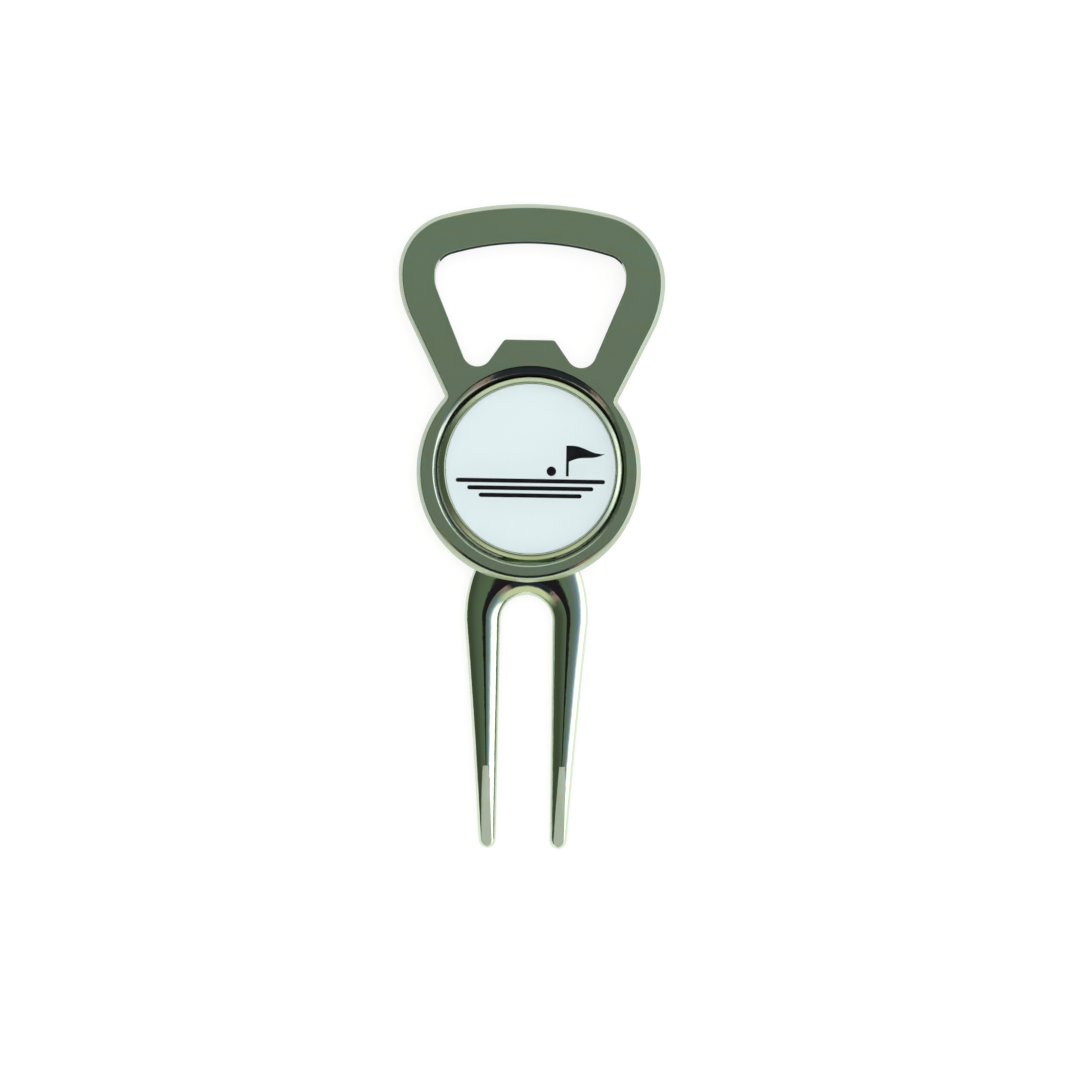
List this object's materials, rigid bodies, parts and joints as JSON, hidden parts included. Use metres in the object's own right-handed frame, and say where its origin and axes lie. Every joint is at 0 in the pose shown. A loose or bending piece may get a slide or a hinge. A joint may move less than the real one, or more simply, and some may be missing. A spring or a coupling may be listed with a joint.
{
  "type": "divot repair tool",
  "caption": "Flat plated golf divot tool with forked prongs, a bottle opener loop and a round cup that holds a lift-off magnetic ball marker.",
  "frame": {"origin": "centre of the marker cup, on the flat back of the tool", "axes": "+Z out of the front face, +Y from the cup to the bottle opener loop, +X to the right seen from the front"},
  "size_m": [0.0346, 0.084, 0.004],
  "materials": {
    "nickel_plate": "nickel plated zinc casting, lightly brushed flats and polished edges",
    "marker_steel": "nickel plated stamped steel, polished rim",
    "magnet_plate": "nickel plated magnet, smooth",
    "glue": "cured clear adhesive",
    "adhesive_film": "thin double sided film",
    "label": "white printed film",
    "ink": "black printing ink",
    "clear_dome": "clear poured resin, high gloss"
  },
  "bodies": {
    "tool": {"tool_body": "nickel_plate", "magnet": "magnet_plate", "magnet_glue": "glue"},
    "marker": {"marker_base": "marker_steel", "label_adhesive": "adhesive_film", "marker_label": "label", "marker_print": "ink", "marker_dome": "clear_dome"}
  },
  "joints": [
    {"name": "marker_lift", "type": "slide", "parent": "tool", "child": "marker", "axis": [0, 0, 1], "range_m": [0, 0.02]}
  ]
}
